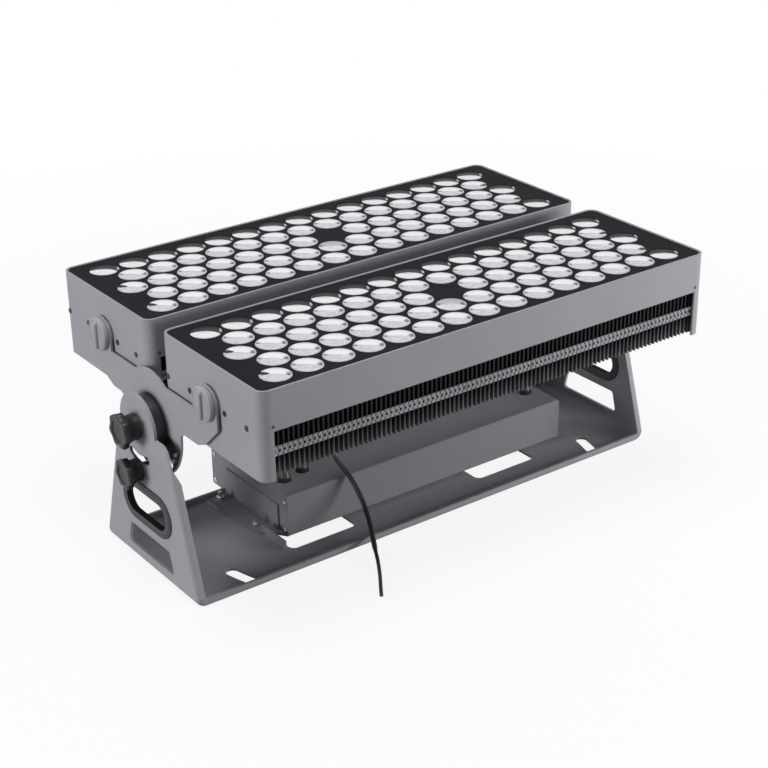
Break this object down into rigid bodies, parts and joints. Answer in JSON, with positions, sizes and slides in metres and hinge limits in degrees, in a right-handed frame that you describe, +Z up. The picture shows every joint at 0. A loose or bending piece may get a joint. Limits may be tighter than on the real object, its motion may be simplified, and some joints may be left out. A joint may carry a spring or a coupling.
{
  "type": "floodlight",
  "caption": "Twin-head lens-array floodlight whose finned heads tilt on a cradle held by a flanged yoke, with a driver box on the base and clamp knobs at the pivots.",
  "frame": {"origin": "centre of the yoke's underside, on the surface that the floodlight stands on", "axes": "+X along the lamp heads, +Y from the front head to the rear head, +Z up"},
  "size_m": [0.811, 0.477, 0.3351],
  "materials": {
    "grey_paint": "fine textured grey powder coat, satin",
    "dark_paint": "fine textured dark grey powder coat, satin",
    "mask_black": "matt black paint",
    "clear_lens": "clear moulded acrylic, polished",
    "board_white": "white solder mask",
    "led_yellow": "yellow phosphor under clear dome",
    "black_fins": "black anodised, satin",
    "strip_metal": "dull stamped aluminium",
    "bright_steel": "zinc plated",
    "dark_steel": "black zinc plated",
    "knob_black": "fine grained black nylon",
    "black_plastic": "matt black nylon",
    "black_rubber": "matt black rubber",
    "cable_jacket": "smooth black rubber jacket",
    "driver_metal": "plain aluminium case",
    "board_laminate": "green solder mask"
  },
  "bodies": {
    "yoke_base": {"yoke": "grey_paint", "handle_trim_left": "black_rubber", "handle_trim_right": "black_rubber", "driver_case": "dark_paint", "driver_end_cover": "dark_paint", "driver_end_plate": "dark_paint", "driver_bracket_left": "dark_paint", "driver_bracket_right": "dark_paint", "bracket_studs": "bright_steel", "driver_modules": "driver_metal", "control_board": "board_laminate", "terminal_block": "black_plastic", "cable_glands": "black_plastic", "supply_gland": "black_plastic", "supply_cable": "cable_jacket", "friction_disc_left": "black_plastic", "friction_disc_right": "black_plastic", "pivot_bolts": "bright_steel", "lock_bolts": "bright_steel", "lock_sleeves": "bright_steel", "clamp_washers": "bright_steel"},
    "cradle": {"arm_left": "grey_paint", "arm_right": "grey_paint", "tilt_dial_left": "black_plastic", "tilt_dial_right": "black_plastic", "dial_screws": "bright_steel", "head_washers": "bright_steel"},
    "head_front": {"head_shell_front": "grey_paint", "mask_plate_front": "mask_black", "mask_gasket_front": "black_rubber", "lenses_front": "clear_lens", "led_board_front": "board_white", "leds_front": "led_yellow", "heatsink_front": "black_fins", "fin_strips_front": "strip_metal", "pivot_studs_front": "bright_steel", "end_screws_front": "dark_steel"},
    "head_rear": {"head_shell_rear": "grey_paint", "mask_plate_rear": "mask_black", "mask_gasket_rear": "black_rubber", "lenses_rear": "clear_lens", "led_board_rear": "board_white", "leds_rear": "led_yellow", "heatsink_rear": "black_fins", "fin_strips_rear": "strip_metal", "pivot_studs_rear": "bright_steel", "end_screws_rear": "dark_steel"},
    "tilt_knob_left_body": {"tilt_knob_left": "knob_black"},
    "tilt_knob_right_body": {"tilt_knob_right": "knob_black"},
    "lock_knob_left_body": {"lock_knob_left": "knob_black"},
    "lock_knob_right_body": {"lock_knob_right": "knob_black"},
    "pivot_knob_front_left_body": {"pivot_knob_front_left": "grey_paint"},
    "pivot_knob_front_right_body": {"pivot_knob_front_right": "grey_paint"},
    "pivot_knob_rear_left_body": {"pivot_knob_rear_left": "grey_paint"},
    "pivot_knob_rear_right_body": {"pivot_knob_rear_right": "grey_paint"}
  },
  "joints": [
    {"name": "yoke_tilt", "type": "hinge", "parent": "yoke_base", "child": "cradle", "pos_m": [0, 0.008, 0.206], "axis": [1, 0, 0], "range_deg": [-35, 45]},
    {"name": "front_head_tilt", "type": "hinge", "parent": "cradle", "child": "head_front", "pos_m": [0, -0.128, 0.283], "axis": [1, 0, 0], "range_deg": [-45, 45]},
    {"name": "rear_head_tilt", "type": "hinge", "parent": "cradle", "child": "head_rear", "pos_m": [0, 0.128, 0.283], "axis": [1, 0, 0], "range_deg": [-45, 45]},
    {"name": "tilt_knob_left_turn", "type": "hinge", "parent": "yoke_base", "child": "tilt_knob_left_body", "pos_m": [-0.3925, 0.008, 0.206], "axis": [1, 0, 0], "continuous": true},
    {"name": "tilt_knob_right_turn", "type": "hinge", "parent": "yoke_base", "child": "tilt_knob_right_body", "pos_m": [0.3925, 0.008, 0.206], "axis": [1, 0, 0], "continuous": true},
    {"name": "lock_knob_left_turn", "type": "hinge", "parent": "yoke_base", "child": "lock_knob_left_body", "pos_m": [-0.3925, 0.008, 0.146], "axis": [1, 0, 0], "continuous": true},
    {"name": "lock_knob_right_turn", "type": "hinge", "parent": "yoke_base", "child": "lock_knob_right_body", "pos_m": [0.3925, 0.008, 0.146], "axis": [1, 0, 0], "continuous": true},
    {"name": "pivot_knob_front_left_turn", "type": "hinge", "parent": "cradle", "child": "pivot_knob_front_left_body", "pos_m": [-0.364, -0.128, 0.283], "axis": [1, 0, 0], "continuous": true},
    {"name": "pivot_knob_front_right_turn", "type": "hinge", "parent": "cradle", "child": "pivot_knob_front_right_body", "pos_m": [0.364, -0.128, 0.283], "axis": [1, 0, 0], "continuous": true},
    {"name": "pivot_knob_rear_left_turn", "type": "hinge", "parent": "cradle", "child": "pivot_knob_rear_left_body", "pos_m": [-0.364, 0.128, 0.283], "axis": [1, 0, 0], "continuous": true},
    {"name": "pivot_knob_rear_right_turn", "type": "hinge", "parent": "cradle", "child": "pivot_knob_rear_right_body", "pos_m": [0.364, 0.128, 0.283], "axis": [1, 0, 0], "continuous": true}
  ]
}
